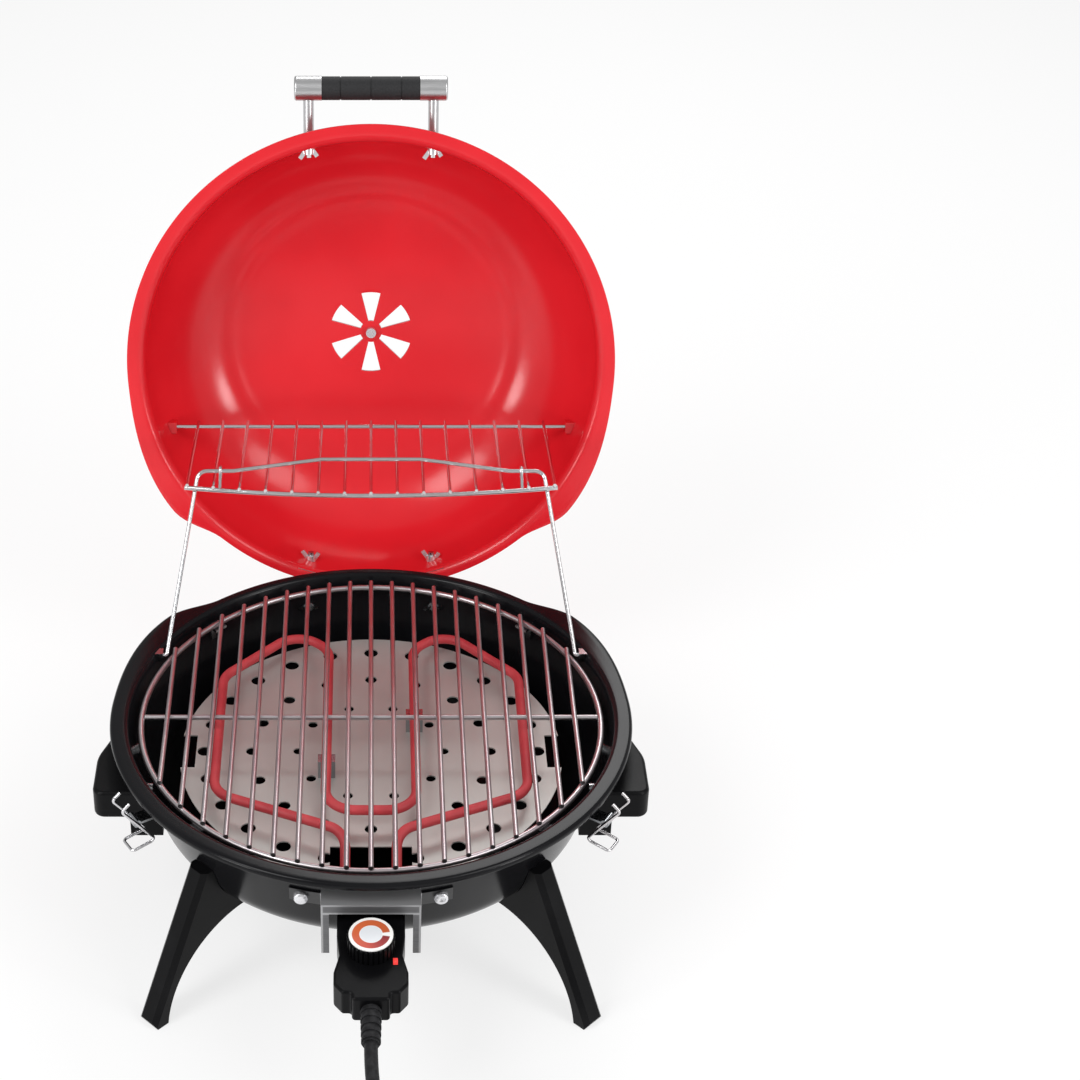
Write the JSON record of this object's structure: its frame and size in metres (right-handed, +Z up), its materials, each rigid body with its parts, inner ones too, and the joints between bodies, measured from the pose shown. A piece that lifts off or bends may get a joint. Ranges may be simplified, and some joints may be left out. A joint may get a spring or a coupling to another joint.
{
  "type": "electric barbecue grill",
  "caption": "Round table-top electric grill with a domed lid on rear hinges, a wire grate over a looped element, a levelling warming rack, side latches and a plug-in dial control on a cord.",
  "frame": {"origin": "on the floor, in the middle of the grill's box without its cord", "axes": "+Z up, -Y to the control and the user, +X to the right as the user sees it"},
  "size_m": [0.442, 0.8437, 0.5765],
  "materials": {
    "bowl_enamel": "gloss black enamel",
    "lid_enamel": "gloss red enamel",
    "moulded_black": "satin black moulding",
    "chrome_wire": "bright plated wire",
    "zinc_steel": "zinc plated",
    "satin_steel": "satin steel",
    "reflector_steel": "warm grey pierced plate",
    "element_sheath": "dull red sheath",
    "control_plastic": "black moulding",
    "dial_print": "printed dial",
    "red_lens": "red lens",
    "grip_foam": "black grip",
    "cord_rubber": "black cord",
    "plug_brass": "plain brass"
  },
  "bodies": {
    "base": {"bowl": "bowl_enamel", "side_handle_left": "moulded_black", "side_handle_right": "moulded_black", "leg_rear_right": "moulded_black", "leg_rear_left": "moulded_black", "leg_front_left": "moulded_black", "leg_front_right": "moulded_black", "cooking_grate": "chrome_wire", "grate_ring": "chrome_wire", "side_handle_screws": "zinc_steel", "leg_bolts": "zinc_steel", "grate_supports": "zinc_steel", "rack_clips": "zinc_steel", "control_guard_bolts": "zinc_steel", "control_housing_screws": "zinc_steel", "hinge_bracket_bolts": "zinc_steel", "hinge_bracket_nuts": "zinc_steel", "hinge_pins": "zinc_steel", "latch_bracket_left": "zinc_steel", "latch_bracket_right": "zinc_steel", "element_clips": "zinc_steel", "hinge_bracket_left": "satin_steel", "hinge_bracket_right": "satin_steel", "control_guard": "satin_steel", "probe_rod": "satin_steel", "element_terminals": "satin_steel", "reflector_plate": "reflector_steel", "heating_element": "element_sheath", "control_housing_upper": "control_plastic", "control_housing_lower": "control_plastic", "indicator_lens": "red_lens", "cord_strain_relief": "cord_rubber", "cord_lead": "cord_rubber", "cord_coil": "cord_rubber", "cord_tie": "cord_rubber", "plug_body": "cord_rubber", "plug_pins": "plug_brass"},
    "lid": {"lid_shell": "lid_enamel", "lid_handle_grip": "grip_foam", "lid_handle_sleeves": "satin_steel", "lid_handle_posts": "satin_steel", "lid_handle_nuts": "zinc_steel", "vent_bolt": "zinc_steel", "lid_hinge_leaf_left": "satin_steel", "lid_hinge_leaf_right": "satin_steel", "lid_hinge_bolts": "zinc_steel", "lid_hinge_nuts": "zinc_steel", "lid_rack_eyes": "zinc_steel"},
    "damper": {"vent_damper": "satin_steel"},
    "rack_legs": {"rack_legs": "chrome_wire"},
    "rack_shelf": {"rack_shelf": "chrome_wire"},
    "knob": {"control_knob": "control_plastic", "dial_disc": "dial_print"},
    "latch_left": {"latch_left": "chrome_wire"},
    "latch_right": {"latch_right": "chrome_wire"}
  },
  "joints": [
    {"name": "lid_hinge", "type": "hinge", "parent": "base", "child": "lid", "pos_m": [0, 0.1419, 0.144], "axis": [1, 0, 0], "range_deg": [0, 102.5]},
    {"name": "rack_leg_swing", "type": "hinge", "parent": "base", "child": "rack_legs", "pos_m": [0, 0.0169, 0.174], "axis": [1, 0, 0], "range_deg": [0, 102.5]},
    {"name": "rack_shelf_level", "type": "hinge", "parent": "rack_legs", "child": "rack_shelf", "pos_m": [0, 0.1169, 0.295], "axis": [1, 0, 0], "range_deg": [-102.5, 0]},
    {"name": "damper_turn", "type": "hinge", "parent": "lid", "child": "damper", "pos_m": [0, 0.3367, 0.31181], "axis": [0, 0.9763, -0.2164], "range_deg": [0, 30]},
    {"name": "knob_turn", "type": "hinge", "parent": "base", "child": "knob", "pos_m": [0, -0.29683, 0.13604], "axis": [0, -0.0698, 0.9976], "range_deg": [0, 270]},
    {"name": "latch_right_swing", "type": "hinge", "parent": "base", "child": "latch_right", "pos_m": [0.18403, -0.17909, 0.159], "axis": [-0.5299, -0.848, 0], "range_deg": [-25, 35]},
    {"name": "latch_left_swing", "type": "hinge", "parent": "base", "child": "latch_left", "pos_m": [-0.18403, -0.17909, 0.159], "axis": [-0.5299, 0.848, 0], "range_deg": [-25, 35]}
  ],
  "couplings": [
    {"joint": "rack_leg_swing", "follows": "lid_hinge", "ratio": 1},
    {"joint": "rack_shelf_level", "follows": "lid_hinge", "ratio": -1}
  ]
}
